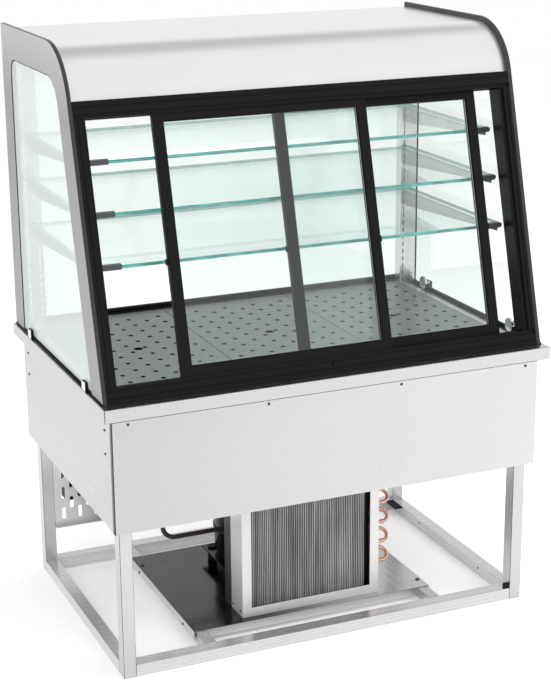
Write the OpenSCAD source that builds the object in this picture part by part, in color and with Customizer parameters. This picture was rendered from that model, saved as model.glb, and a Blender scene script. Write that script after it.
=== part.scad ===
// Refrigerated deli case: a glazed display with two leaning sliding doors, let
// into a counter flange over an insulated tank, on a tube underframe that
// carries the condensing unit. Millimetres, +Z up, doors towards -Y.
// The origin is on the floor, under the middle of the counter flange.

/* [Counter and tank] */
// Width of the counter flange
flange_w = 1125; // [1115:5:1150]
// Depth of the counter flange
flange_d = 752; // [752:1:770]
// Height of the counter flange's top
flange_top = 670; // [665:1:690]
// Height of the flange's folded edge
flange_h = 30; // [25:1:32]
// Width of the tank
tank_w = 1082; // [1080:1:1090]
// Depth of the tank
tank_d = 718; // [716:1:724]
// Distance from the flange's front edge to the tank
tank_inset = 20; // [18:1:22]
// Height of the tank's underside
tank_bottom = 368; // [366:1:372]

/* [Glass case] */
// Height of the case above the floor
case_top = 1427; // [1427:1:1440]
// Outside width over the side panels
case_w = 1110; // [1108:1:1112]
// Thickness of a side panel
panel_t = 10; // [9:0.5:10]
// Angle of the door plane from upright
lean = 15.5; // [15.3:0.1:15.7]
// Radius of the rolled roof edge
roof_r = 158; // [156:1:160]
// Width of a side panel's front band
panel_band = 77; // [74:1:80]
// Distance from the flange's front edge to the door frame
door_foot = 30; // [29:1:32]

/* [Doors] */
// Width of one sliding door
door_w = 526; // [524:1:528]
// Depth of one sliding door
door_t = 14; // [13:0.5:14]
// Width of a door's upright edge profile
stile_w = 24; // [22:1:26]
// How far the outer door stands open
outer_open = 149; // [140:1:160]
// How far the inner door stands open
inner_open = 50; // [45:1:60]

/* [Shelves] */
// Thickness of a glass shelf
shelf_t = 8; // [6:1:8]
// Height step from one shelf to the next
shelf_step = 112; // [108:1:114]
// Height of the lowest glass shelf
shelf_low = 941; // [938:1:944]

/* [Underframe] */
// Width of the frame tube
tube_w = 30; // [28:1:30]
// Depth of the frame tube
tube_d = 35; // [34:1:36]
// Wall of the frame tube
tube_wall = 2; // [1.5:0.5:2]

/* [Hidden] */
$fn = 48;

// Colours
steel = "gainsboro";
panel_grey = "darkgray";
black = "#222426";
copper = "#b5714c";
glass_tint = [0.75, 0.88, 0.86, 0.45];

// Frame of reference
front = -flange_d / 2;
side = case_w / 2;
inner_side = side - panel_t;
sheet = 1.5;
eps = 0.01;

// Tank and its contents
tank_front = front + tank_inset;
tank_back = tank_front + tank_d;
tank_x = tank_w / 2;
well_x = 505;
well_front = front + 115;
well_back = front + 695;
well_bottom = 410;
flange_under = flange_top - sheet;
cut_x = 518;
cut_front = front + 108;
cut_back = front + 700;
deck_t = 1.2;
deck_fold = 14;
deck_count = 3;

// Underframe
leg_x = 527;
leg_front = front + 38;
leg_back = front + 715;
rail_h = tube_w;
tray_rail_x = 300;
tray_rail_w = 28;
tray_x = 318;
tray_front = front + 134;
tray_back = front + 606;
tray_top = rail_h + 2;
tray_fold = 22;

// Condensing unit
cond_x = 184;
cond_front = front + 154;
cond_d = 72;
cond_top = 336;
cond_strip = 24;
cond_sill = 23;
fin_lo_x = -150;
fin_hi_x = 146;
coil_plate_t = 14;
coil_lip = 12;
coil_stub = 5;
coil_reach = 20;
coil_lo_x = fin_lo_x - coil_stub;
coil_row_front = cond_front + 20;
coil_row_back = cond_front + 48;
coil_first = 108;
coil_rise = 23;
coil_pitch = 52;
coil_tubes = 4;
coil_r = 4.75;
socket_len = 5;
socket_lap = 1;
socket_wall = 0.8;
shroud_d = 42;
shroud_front = cond_front + cond_d;
fan_z = 184;
fan_r = 120;
fan_y = shroud_front + 24;
comp_pos = [-38, front + 450, tray_top];
comp_r = 95;
comp_foot_x = 85;
comp_foot_y = 60;
line_r = 6;

// Evaporator
evap_x = 400;
evap_front = front + 470;
evap_back = front + 640;
evap_low = 432;
evap_high = 560;
baffle_y = front + 400;
evap_fan_x = 220;
evap_fan_z = 525;
evap_fan_r = 97;

// Case profile: centre of the rolled edge, found so that the leaning plane is tangent to it
arc_z = case_top - roof_r;
arc_s = (arc_z - flange_top + roof_r * sin(lean)) / cos(lean);
arc_y = front + door_foot + arc_s * sin(lean) + roof_r * cos(lean);
case_back = front + 746;
window_back = front + 672;
window_top = case_top - panel_band;
window_corner = 35;
arc_overlap = 0.05;
rim = 12;
gasket_w = 2;
side_glass_t = 6;
gasket_half = 4;
glass_foot = 8;

// Door frame, in the door plane: depth n into the case, height s up the plane
frame_d = 50;
frame_band = 38;
frame_step = 10;
step_depth = 6;
head_top = arc_s - 2;
head_s = head_top - frame_band;
jamb_x = inner_side - 28;
groove_fit = 0.6;
outer_n = 10;
inner_n = 28;
track_s = 14.5;
roller_r = 9;
roller_t = 7;
pin_r = 2;
running_fit = 0.05;
roller_gap = 0.3;
roller_s = track_s + roller_r + roller_gap;
roller_x = 223;
door_low = 18;
door_sill_top = 60;
door_top = head_s + 10;
door_head_low = door_top - 26;
door_glass_t = 5;
glass_bite = 8;
bumper_t = 4.5;
bumper_s = 297;
outer_left = -(jamb_x - bumper_t - 0.5) + outer_open;
inner_left = jamb_x - bumper_t - 0.5 - inner_open - door_w;

// Shelves and uprights
shelf_x = 520;
shelf_back = front + 655;
shelf_fronts = [front + 170, front + 205, front + 240];
upright_x = 499;
upright_w = inner_side - upright_x;
upright_front = front + 662;
upright_d = 28;
upright_low = flange_top;
upright_high = 1374;
bracket_x = 508;
bracket_t = 2.5;
shoe_w = 60;
shoe_t = 12;

module box(lo, hi)
    translate(lo)
        cube(hi - lo);

// The same shape on the left and on the right
module both_sides() {
    children();
    mirror([1, 0, 0])
        children();
}

// Local X, depth n and height s in the leaning plane of the doors
module on_door_plane()
    translate([0, front + door_foot, flange_top])
        rotate([-lean, 0, 0])
            children();

// A profile drawn in Y and Z, run along X from x0 to x1
module along_x(x0, x1)
    translate([x0, 0, 0])
        rotate([90, 0, 90])
            linear_extrude(x1 - x0)
                children();

// A rectangular tube between two corners, hollow along axis 0, 1 or 2
module hollow_tube(lo, hi, along) {
    inset = [for (i = [0:2]) i == along ? -1 : tube_wall];
    difference() {
        box(lo, hi);
        box(lo + inset, hi - inset);
    }
}

// A round bar between two points that differ along one axis
module bar(from, to, r) {
    run = to - from;
    low = [for (i = [0:2]) min(from[i], to[i])];
    turn = [-90 * abs(sign(run[1])), 90 * abs(sign(run[0])), 0];
    translate(low)
        rotate(turn)
            cylinder(h = norm(run), r = r);
}

// A pipe through a list of points, with a ball at each bend
module pipe(points, r) {
    for (i = [0:len(points) - 2])
        bar(points[i], points[i + 1], r);
    for (i = [1:1:len(points) - 2])
        translate(points[i])
            sphere(r = r);
}

// A half-ring of pipe in the plane of X, from p0 to p1 in Y and Z; dir is +1 or -1 in X
module return_bend(x, p0, p1, r, dir) {
    $fn = 24;
    middle = (p0 + p1) / 2;
    turn = atan2(p1[1] - p0[1], p1[0] - p0[0]);
    translate([x, middle[0], middle[1]])
        rotate([turn, 0, 0])
            rotate([0, 0, -90 * dir])
                rotate_extrude(angle = 180)
                    translate([norm(p1 - p0) / 2, 0])
                        circle(r = r);
}

// An axial fan with its axis along Y: hub, and blades cut from pitched plates
module axial_fan(r, hub_r, depth, blades, shaft_r) {
    difference() {
        union() {
            rotate([90, 0, 0])
                cylinder(h = depth, r = hub_r, center = true);
            intersection() {
                rotate([90, 0, 0])
                    cylinder(h = depth, r = r, center = true);
                for (i = [0:blades - 1])
                    rotate([0, i * 360 / blades, 0])
                        translate([(hub_r + r) / 2, 0, 0])
                            rotate([32, 0, 0])
                                cube([r - hub_r + 6, 2.4, r * 0.75], center = true);
            }
        }
        rotate([90, 0, 0])
            cylinder(h = depth + 2, r = shaft_r, center = true);
    }
}

// ---- Underframe ----

module legs()
    color(steel)
        both_sides()
            for (y = [leg_front, leg_back - tube_d])
                hollow_tube([leg_x - tube_w, y, 0], [leg_x, y + tube_d, tank_bottom], 2);

module foot_plugs()
    color(black)
        both_sides()
            for (y = [leg_front, leg_back - tube_d])
                box([leg_x - tube_w + tube_wall, y + tube_wall, 0],
                    [leg_x - tube_wall, y + tube_d - tube_wall, 14]);

module bottom_rails() {
    cross_x = leg_x - tube_w;
    color(steel) {
        for (y = [leg_front, leg_back - tube_d])
            hollow_tube([-cross_x, y, 0], [cross_x, y + tube_d, rail_h], 0);
        both_sides()
            difference() {
                hollow_tube([cross_x, leg_front + tube_d, 0], [leg_x, leg_back - tube_d, rail_h], 1);
                rail_holes();
            }
    }
}

// Two fixing holes through the inner wall of a side rail
rail_hole_y = [front + 195, front + 520];
rail_hole_z = 20;
rail_hole_r = 3;
module rail_holes()
    for (y = rail_hole_y)
        translate([leg_x - tube_w - 1, y, rail_hole_z])
            rotate([0, 90, 0])
                cylinder(h = tube_wall + 2, r = rail_hole_r);

module tray_rails()
    color(steel)
        both_sides()
            hollow_tube([tray_rail_x - tray_rail_w / 2, leg_front + tube_d, 5],
                        [tray_rail_x + tray_rail_w / 2, leg_back - tube_d, rail_h], 1);

// Small black corner pieces on the right-hand bottom joints
module corner_plugs() {
    corner_x = leg_x - tube_w;
    color(black) {
        box([corner_x - 16, leg_front + 1, rail_h], [corner_x, leg_front + 7, rail_h + 14]);
        box([corner_x - 21, leg_back - tube_d - 56, rail_h - 5],
            [corner_x, leg_back - tube_d, rail_h]);
    }
}

module machine_tray() {
    notch = tray_rail_w + 6;
    color(steel)
        difference() {
            box([-tray_x, tray_front, tray_top - tray_fold], [tray_x, tray_back, tray_top]);
            box([-tray_x + 2, tray_front + 2, 0], [tray_x - 2, tray_back - 2, tray_top - 2]);
            for (x = [-tray_rail_x, tray_rail_x])
                box([x - notch / 2, tray_front - 1, 0], [x + notch / 2, tray_back + 1, rail_h]);
            both_sides()
                for (y = [front + 175, front + 545])
                    translate([tray_rail_x + 7, y, 0])
                        cylinder(h = tray_top + 1, r = 3.2);
        }
}

// ---- Condensing unit ----

module condenser_casing() {
    window_x = cond_x - cond_strip;
    color(steel)
        difference() {
            box([-cond_x, cond_front, tray_top], [cond_x, cond_front + cond_d, cond_top]);
            box([-cond_x + sheet, cond_front + sheet, tray_top + sheet],
                [cond_x - sheet, cond_front + cond_d + 1, cond_top - sheet]);
            box([-window_x, cond_front - 1, tray_top + cond_sill],
                [window_x, cond_front + 2, cond_top - cond_sill]);
            coil_ends(cond_x - 3, coil_r + 0.5);
        }
}

// The two ends of every coil pass at the right-hand side, from x on
module coil_ends(x, r)
    for (i = [0:coil_tubes - 1], p = [coil_front_end(i), coil_back_end(i)])
        translate([x, p[0], p[1]])
            rotate([0, 90, 0])
                cylinder(h = 6, r = r);

function coil_front_end(i) = [coil_row_front, coil_first + i * coil_pitch];
function coil_back_end(i) = [coil_row_back, coil_first + coil_rise + i * coil_pitch];

module condenser_fins() {
    pitch = 4.8;
    fin_t = 1.4;
    count = floor((fin_hi_x - fin_lo_x) / pitch);
    low = tray_top + sheet + 1;
    color("dimgray")
        difference() {
            translate([0, 0, low])
                linear_extrude(cond_top - sheet - 1 - low)
                    union() {
                        translate([fin_lo_x, coil_row_front - 6])
                            square([fin_hi_x - fin_lo_x, coil_row_back - coil_row_front + 12]);
                        translate([fin_hi_x - eps, cond_front + 12])
                            square([coil_plate_t, cond_d - 24]);
                        translate([fin_lo_x - coil_lip, cond_front + 10])
                            square([coil_lip + eps, 4]);
                        for (i = [1:floor(coil_lip / pitch)])
                            translate([fin_lo_x - i * pitch, cond_front + 3])
                                square([fin_t, 8]);
                        for (i = [0:count])
                            translate([fin_lo_x + i * pitch, cond_front + 3])
                                square([fin_t, cond_d - 6]);
                    }
            for (i = [0:coil_tubes - 1], p = [coil_front_end(i), coil_back_end(i)])
                translate([fin_lo_x - 1, p[0], p[1]])
                    rotate([0, 90, 0])
                        cylinder(h = fin_hi_x - fin_lo_x + coil_plate_t + 2, r = coil_r);
        }
}

module condenser_tubes() {
    right = cond_x + coil_reach;
    color(copper)
        for (i = [0:coil_tubes - 1]) {
            for (p = [coil_front_end(i), coil_back_end(i)])
                bar([coil_lo_x, p[0], p[1]], [right, p[0], p[1]], coil_r);
            return_bend(right, coil_front_end(i), coil_back_end(i), coil_r, 1);
            for (p = [coil_front_end(i), coil_back_end(i)])
                socket(right, p, 1);
            if (i < coil_tubes - 1) {
                return_bend(coil_lo_x, coil_back_end(i), coil_front_end(i + 1), coil_r, -1);
                for (p = [coil_back_end(i), coil_front_end(i + 1)])
                    socket(coil_lo_x, p, -1);
            }
        }
}

// Belled end of a return bend, slipped over a tube end at x
module socket(x, p, dir)
    bar([x + dir * socket_lap, p[0], p[1]],
        [x - dir * (socket_len - socket_lap), p[0], p[1]], coil_r + socket_wall);

module fan_shroud()
    color("#3a3d40")
        difference() {
            box([-cond_x, shroud_front, tray_top], [cond_x, shroud_front + shroud_d, cond_top]);
            box([-cond_x + sheet, shroud_front - 1, tray_top + sheet],
                [cond_x - sheet, shroud_front + shroud_d - 20, cond_top - sheet]);
            translate([0, shroud_front + shroud_d + 1, fan_z])
                rotate([90, 0, 0])
                    cylinder(h = 30, r = fan_r + 6);
            difference() {
                box([-cond_x + sheet, shroud_front + 10, tray_top + sheet],
                    [cond_x - sheet, shroud_front + shroud_d - sheet, cond_top - sheet]);
                translate([0, shroud_front + shroud_d, fan_z])
                    rotate([90, 0, 0])
                        cylinder(h = 40, r = fan_r + 6 + sheet);
            }
            for (p = [discharge_start, liquid_start])
                bar([p[0], shroud_front - 1, p[2]], [p[0], shroud_front + shroud_d + 1, p[2]], line_r - 1);
        }

module condenser_fan()
    color("#2b2d30")
        translate([0, fan_y, fan_z])
            axial_fan(fan_r, 34, 30, 5, motor_shaft_r + running_fit);

motor_shaft_r = 4;
module condenser_fan_motor() {
    back = shroud_front + shroud_d;
    color("#35383b") {
        translate([0, back + 62, fan_z])
            rotate([90, 0, 0])
                cylinder(h = 50, r = 42);
        translate([0, back + 14, fan_z])
            rotate([90, 0, 0])
                cylinder(h = 14 + shroud_d - 10, r = motor_shaft_r);
        for (a = [0:90:270])
            translate([0, back + 40, fan_z])
                rotate([0, a, 0])
                    translate([38, 0, 0])
                        union() {
                            box([0, -3, -5], [fan_r - 14, 3, 5]);
                            box([fan_r - 20, -40, -5], [fan_r - 14, 3, 5]);
                        }
    }
}

// Hermetic compressor: lower cup, flange seam and dome, with its base plate
pipe_fit = 0.05;
module compressor()
    difference() {
        compressor_body();
        translate([comp_pos[0], discharge_shell_y, discharge_end_z - pipe_fit])
            cylinder(h = comp_r, r = line_r - 2 + pipe_fit);
        bar([suction_end_x + pipe_fit, suction_drop[1], suction_z],
            [comp_pos[0] - comp_r - 20, suction_drop[1], suction_z], line_r + pipe_fit);
    }

module compressor_body() {
    foot = 8;
    base = comp_pos + [0, 0, 26];
    seam_z = 84;
    dome_rise = 86;
    color(black) {
        translate(base)
            rotate_extrude()
                union() {
                    translate([0, foot])
                        square([comp_r - 14, 20]);
                    translate([0, 22])
                        square([comp_r, seam_z - 22]);
                    translate([0, seam_z - 4])
                        square([comp_r + 4, 8]);
                    intersection() {
                        translate([0, seam_z])
                            square([comp_r, comp_r]);
                        translate([0, seam_z + dome_rise - comp_r])
                            circle(r = comp_r + 12);
                    }
                }
        difference() {
            translate(base)
                box([-comp_foot_x - 22, -comp_foot_y - 22, foot - 4],
                    [comp_foot_x + 22, comp_foot_y + 22, foot]);
            compressor_feet(comp_pos[2] + 20, 40, 6);
        }
        translate(base + [60, 0, 60])
            box([10, -26, -24], [50, 26, 30]);
    }
}

module compressor_feet(z, h, r)
    for (x = [-comp_foot_x, comp_foot_x], y = [-comp_foot_y, comp_foot_y])
        translate([comp_pos[0] + x, comp_pos[1] + y, z])
            cylinder(h = h, r = r);

module compressor_mounts()
    color("#1a1a1b") {
        compressor_feet(comp_pos[2], 26 + 4, 13);
        compressor_feet(comp_pos[2] + 30, 9, 6);
        compressor_feet(comp_pos[2] + 26 + 8, 5, 13);
    }

// Suction line: down from the tank, one bend, then across to the compressor
suction_drop = [-293, comp_pos[1] - 34];
suction_z = 157;
suction_end_x = comp_pos[0] - comp_r + 10;
module suction_line() {
    drop = suction_drop;
    run_z = suction_z;
    bend_r = 34;
    color("#4a342c") {
        bar([drop[0], drop[1], run_z + bend_r], [drop[0], drop[1], well_bottom - 8], line_r);
        translate([drop[0] + bend_r, drop[1], run_z + bend_r])
            rotate([90, 180, 0])
                rotate_extrude(angle = 90)
                    translate([bend_r, 0])
                        circle(r = line_r);
        bar([drop[0] + bend_r, drop[1], run_z],
            [suction_end_x, drop[1], run_z], line_r);
    }
}

discharge_start = [-165, coil_row_back, coil_first + coil_rise + (coil_tubes - 1) * coil_pitch];
discharge_shell_y = comp_pos[1] - 40;
discharge_end_z = comp_pos[2] + 194;
module discharge_line() {
    behind_y = shroud_front + shroud_d + 16;
    shell_y = discharge_shell_y;
    color(copper)
        pipe([
            [coil_lo_x, discharge_start[1], discharge_start[2]],
            discharge_start,
            [discharge_start[0], behind_y, discharge_start[2]],
            [comp_pos[0], behind_y, discharge_start[2]],
            [comp_pos[0], shell_y, discharge_start[2]],
            [comp_pos[0], shell_y, discharge_end_z]
        ], line_r - 2);
}

liquid_start = [-165, coil_row_front, coil_first];
drier_from = -90;
drier_to = 10;
drier_y = shroud_front + shroud_d + 20;
capillary_x = 60;
module liquid_line()
    color(copper) {
        pipe([
            [coil_lo_x, liquid_start[1], liquid_start[2]],
            liquid_start,
            [liquid_start[0], drier_y, liquid_start[2]],
            [drier_from, drier_y, liquid_start[2]]
        ], line_r - 2);
        pipe([
            [drier_to, drier_y, liquid_start[2]],
            [capillary_x, drier_y, liquid_start[2]],
            [capillary_x, drier_y, tank_bottom]
        ], 2);
    }

module filter_drier()
    color(copper)
        translate([drier_from, drier_y, liquid_start[2]])
            rotate([0, 90, 0])
                union() {
                    translate([0, 0, 16])
                        cylinder(h = drier_to - drier_from - 32, r = 14);
                    cylinder(h = 16, r1 = 5, r2 = 14);
                    translate([0, 0, drier_to - drier_from - 16])
                        cylinder(h = 16, r1 = 14, r2 = 5);
                }

// Slotted sheet at the left rear, with its lower edge folded forward
module perforated_panel() {
    left = -(leg_x - tube_w) + 2;
    right = -335;
    y = front + 690;
    low = 120;
    slot_w = 10;
    slot_h = 33;
    pitch_x = 22;
    pitch_z = 57;
    color(steel)
        difference() {
            union() {
                box([left, y, low], [right, y + sheet, tank_bottom]);
                box([left, y - 16, low], [right, y, low + sheet]);
            }
            for (i = [0:5], k = [0:3])
                translate([left + 25 + i * pitch_x, y + 3, low + 33 + k * pitch_z + (i % 2) * pitch_z / 2])
                    rotate([90, 0, 0])
                        linear_extrude(6)
                            slot(slot_w, slot_h);
        }
}

// Upright slot with round ends, centred
module slot(w, h) {
    square([w, h - w], center = true);
    for (z = [-1, 1])
        translate([0, z * (h - w) / 2])
            circle(d = w);
}

box_front = front + 690 + sheet;
gland_y = front + 722;
box_left = -462;
box_right = -362;
box_low = 186;
box_high = 330;
module control_box()
    color(black)
        difference() {
            box([box_left, box_front, box_low], [box_right, tank_back - 4, box_high]);
            box([box_left + 3, box_front + 3, box_low + 3],
                [box_right - 3, tank_back - 7, box_high - 3]);
            translate([(box_left + box_right) / 2, gland_y, box_low - 1])
                cylinder(h = 6, r = 8);
        }

module cable_gland()
    color("#2f3133")
        translate([(box_left + box_right) / 2, gland_y, box_low])
            difference() {
                union() {
                    translate([0, 0, -12])
                        cylinder(h = 12, r = 12);
                    translate([0, 0, -22])
                        cylinder(h = 10, r1 = 8, r2 = 11);
                    cylinder(h = 8, r = 8);
                }
                translate([0, 0, -23])
                    cylinder(h = 40, r = 4.5);
            }

// ---- Tank ----

module tank_shell()
    color(steel)
        difference() {
            box([-tank_x, tank_front + sheet, tank_bottom], [tank_x, tank_back, flange_under]);
            box([-tank_x + sheet, tank_front + 2 * sheet, tank_bottom + sheet],
                [tank_x - sheet, tank_back - sheet, flange_under + 1]);
            tank_pipe_holes();
        }

drain_pos = [60, front + 643];
drain_r = 13;
drain_bore_r = 11;
spigot_r = 14;
spigot_len = 30;
spigot_gap = 4;
module tank_pipe_holes() {
    for (p = [[suction_drop[0], suction_drop[1], line_r], [drain_pos[0], drain_pos[1], drain_r]])
        translate([p[0], p[1], tank_bottom - 1])
            cylinder(h = well_bottom - tank_bottom + 6, r = p[2]);
}

module tank_front_panel()
    color(steel)
        difference() {
            box([-tank_x - 1, tank_front, tank_bottom - 1], [tank_x + 1, tank_front + 12, flange_under]);
            box([-tank_x, tank_front + sheet, tank_bottom], [tank_x, tank_front + 13, flange_under + 1]);
        }

module tank_insulation()
    color("#e9d9a6")
        difference() {
            box([-tank_x + sheet, tank_front + 2 * sheet, tank_bottom + sheet],
                [tank_x - sheet, tank_back - sheet, flange_under]);
            box([-well_x, well_front, well_bottom], [well_x, well_back, flange_under + 1]);
            liner_rim();
            tank_pipe_holes();
        }

// The liner's rim, which hangs under the counter sheet and carries the deck
module liner_rim()
    box([-cut_x - 5, cut_front - 5, flange_under - sheet], [cut_x + 5, cut_back + 5, flange_under]);

module tank_liner()
    color(steel)
        difference() {
            union() {
                box([-well_x, well_front, well_bottom], [well_x, well_back, flange_under]);
                liner_rim();
            }
            box([-well_x + sheet, well_front + sheet, well_bottom + sheet],
                [well_x - sheet, well_back - sheet, flange_under + 1]);
            tank_pipe_holes();
        }

module drain_pipe() {
    low = tank_bottom - spigot_gap - spigot_len;
    high = well_bottom + sheet;
    color("#d8d8d4")
        translate([drain_pos[0], drain_pos[1], low])
            difference() {
                union() {
                    cylinder(h = spigot_len, r = spigot_r);
                    cylinder(h = high - low, r = drain_r);
                }
                translate([0, 0, -1])
                    cylinder(h = high - low + 2, r = drain_bore_r);
            }
}

module evaporator_fins() {
    pitch = 10;
    fin_t = 1.5;
    core = 30;
    color("silver") {
        for (x = [-evap_x, evap_x - fin_t])
            box([x, evap_front, well_bottom + sheet], [x + fin_t, evap_back, evap_low]);
        difference() {
            translate([0, 0, evap_low])
                linear_extrude(evap_high - evap_low)
                    union() {
                        translate([-evap_x, evap_front + core])
                            square([2 * evap_x, evap_back - evap_front - 2 * core]);
                        for (i = [0:2 * evap_x / pitch])
                            translate([-evap_x + i * (2 * evap_x - fin_t) * pitch / (2 * evap_x), evap_front])
                                square([fin_t, evap_back - evap_front]);
                    }
            for (p = evap_tube_spots)
                translate([-evap_x - 1, p[0], p[1]])
                    rotate([0, 90, 0])
                        cylinder(h = 2 * evap_x + 2, r = coil_r);
        }
    }
}

evap_tube_spots = [
    for (row = [0:2], level = [0:1])
        [evap_front + 45 + row * 40, evap_low + 34 + level * 60]
];
module evaporator_tubes()
    color(copper) {
        for (p = evap_tube_spots)
            bar([-evap_x - 4, p[0], p[1]], [evap_x + 4, p[0], p[1]], coil_r);
        for (row = [0:2])
            return_bend(evap_x + 4, evap_tube_spots[2 * row], evap_tube_spots[2 * row + 1], coil_r, 1);
        for (row = [0:1])
            return_bend(-evap_x - 4, evap_tube_spots[2 * row + 1], evap_tube_spots[2 * row + 3], coil_r, -1);
    }

// Upright plate across the well, with a ring for each fan
module fan_baffle()
    color(steel)
        difference() {
            union() {
                box([-well_x + sheet, baffle_y, well_bottom + sheet],
                    [well_x - sheet, baffle_y + 2, flange_under - 20]);
                evaporator_fan_rings(evap_fan_r + 5, -4, 12);
            }
            evaporator_fan_rings(evap_fan_r + 3, -5, 13);
        }

module evaporator_fan_rings(r, from, to)
    for (x = [-evap_fan_x, evap_fan_x])
        translate([x, baffle_y + from, evap_fan_z])
            rotate([-90, 0, 0])
                cylinder(h = to - from, r = r);

module evaporator_fan(x)
    color("#2b2d30")
        translate([x, baffle_y + 4, evap_fan_z])
            axial_fan(evap_fan_r, 28, 20, 5, evap_shaft_r + running_fit);

evap_shaft_r = 3;
module evaporator_fan_left()
    evaporator_fan(-evap_fan_x);

module evaporator_fan_right()
    evaporator_fan(evap_fan_x);

module evaporator_fan_motors()
    color("#35383b")
        for (x = [-evap_fan_x, evap_fan_x])
            translate([x, baffle_y + 17, evap_fan_z])
                rotate([-90, 0, 0])
                    union() {
                        cylinder(h = 38, r = 30);
                        translate([0, 0, -22])
                            cylinder(h = 24, r = evap_shaft_r);
                        for (a = [45, 225])
                            rotate([0, 0, a])
                                box([24, -8, 30], [evap_fan_r + 20, 8, 33]);
                        for (a = [45, 225])
                            rotate([0, 0, a])
                                box([evap_fan_r + 16, -8, -15], [evap_fan_r + 20, 8, 33]);
                    }

// ---- Counter ----

module counter_flange()
    color(steel)
        difference() {
            box([-flange_w / 2, front, flange_top - flange_h], [flange_w / 2, -front, flange_top]);
            box([-flange_w / 2 + sheet, front + sheet, flange_top - flange_h - 1],
                [flange_w / 2 - sheet, -front - sheet, flange_under]);
            box([-cut_x, cut_front, flange_under - 1], [cut_x, cut_back, flange_top + 1]);
        }

// Lift-out plates over the well, with staggered air slots
module deck_plates() {
    gap = 1;
    w = 2 * cut_x / deck_count;
    color(steel)
        for (i = [0:deck_count - 1])
            deck_plate(-cut_x + i * w + gap, -cut_x + (i + 1) * w - gap);
}

module deck_plate(x0, x1) {
    y0 = cut_front + 2;
    y1 = cut_back - 2;
    slot_x = 10;
    slot_y = 12;
    pitch_x = 40;
    pitch_y = 54;
    top = flange_under + deck_t;
    difference() {
        union() {
            translate([0, 0, top - deck_t])
                linear_extrude(deck_t)
                    difference() {
                        translate([x0, y0])
                            square([x1 - x0, y1 - y0]);
                        for (i = [0:7], k = [0:10])
                            translate([x0 + 26 + i * pitch_x, y0 + 24 + k * pitch_y + (i % 2) * pitch_y / 2])
                                if (y0 + 24 + k * pitch_y + (i % 2) * pitch_y / 2 < y1 - 24)
                                    square([slot_x, slot_y]);
                    }
            box([x0 + 14, well_front + sheet + 1, top - deck_fold],
                [x1 - 14, well_front + sheet + 1 + deck_t, top - deck_t]);
            box([x0 + 14, well_back - sheet - 1 - deck_t, top - deck_fold],
                [x1 - 14, well_back - sheet - 1, top - deck_t]);
        }
        translate([(x0 + x1) / 2, (y0 + y1) / 2, top - deck_t - 1])
            cylinder(h = deck_t + 2, r = 11);
    }
}

// ---- Glass case ----

// The closed shape of the case from x0 to x1, drawn in by inset all round its front and top
module case_body(x0, x1, inset) {
    r = roof_r - inset;
    along_x(x0, x1)
        polygon([
            [front + door_foot + inset / cos(lean), flange_top],
            [arc_y - r * cos(lean), arc_z + r * sin(lean)],
            [arc_y, arc_z],
            [arc_y, case_top - inset],
            [case_back, case_top - inset],
            [case_back, flange_top]
        ]);
    translate([x0, arc_y, arc_z])
        rotate([0, 90, 0])
            cylinder(h = x1 - x0, r = r + arc_overlap, $fn = 96);
}

// The window of a side panel, drawn in by inset, from a height up
module window_body(x0, x1, inset, low) {
    back = window_back - inset;
    top = window_top - inset;
    corner = window_corner - inset;
    intersection() {
        case_body(x0, x1, panel_band + inset);
        union() {
            box([x0 - 1, front, low], [x1 + 1, back, top - corner]);
            box([x0 - 1, front, low], [x1 + 1, back - corner, top + 1]);
            translate([x0 - 1, back - corner, top - corner])
                rotate([0, 90, 0])
                    cylinder(h = x1 - x0 + 2, r = corner);
        }
    }
}

module side_panel(x0, x1)
    color(panel_grey)
        difference() {
            case_body(x0, x1, 0);
            window_body(x0 - 1, x1 + 1, 0, flange_top - 1);
        }

module side_panel_left()
    side_panel(-side, -inner_side);

module side_panel_right()
    side_panel(inner_side, side);

glass_mid = inner_side + panel_t / 2;
module side_glasses()
    color(glass_tint)
        both_sides()
            window_body(glass_mid - side_glass_t / 2, glass_mid + side_glass_t / 2,
                        gasket_w, flange_top + glass_foot);

// Black seals round the side glasses and the channel under the rear glass
channel_h = 10;
module glass_gaskets()
    color(black) {
        both_sides()
            difference() {
                window_body(glass_mid - gasket_half, glass_mid + gasket_half, 0, flange_top);
                window_body(glass_mid - gasket_half - 1, glass_mid + gasket_half + 1,
                            gasket_w, flange_top + glass_foot);
            }
        difference() {
            box([-rear_glass_x - 3, rear_glass_y - 5, flange_top],
                [rear_glass_x + 3, rear_glass_y + rear_glass_t + 3, flange_top + channel_h]);
            box([-rear_glass_x, rear_glass_y, flange_top + 6],
                [rear_glass_x, rear_glass_y + rear_glass_t, flange_top + channel_h + 1]);
        }
    }

clamp_spots = [front + 154, front + 602];
module glass_clamps()
    color(black)
        both_sides()
            for (y = clamp_spots)
                box([glass_mid + gasket_half, y - 13, flange_top],
                    [side + 6, y + 13, flange_top + 22]);

module clamp_discs()
    color("whitesmoke")
        both_sides()
            for (y = clamp_spots)
                translate([glass_mid - side_glass_t / 2 - 9, y, flange_top + 18])
                    rotate([0, 90, 0])
                        union() {
                            cylinder(h = 5, r = 17);
                            cylinder(h = 9, r = 7);
                        }

// Roof sheet: from the frame head over the rolled edge to a fold behind
module canopy()
    color(steel) {
        difference() {
            case_body(-inner_side, inner_side, rim);
            case_body(-side, side, rim + sheet);
            on_door_plane()
                box([-side, -roof_r, -case_top], [side, case_top, head_top]);
        }
        box([-inner_side, case_back - sheet, case_top - 60],
            [inner_side, case_back, case_top - rim - sheet]);
    }

// Y and Z of the point at depth n and height s in the door plane
function door_point(n, s) = [
    front + door_foot + s * sin(lean) + n * cos(lean),
    flange_top + s * cos(lean) - n * sin(lean)
];

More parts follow.
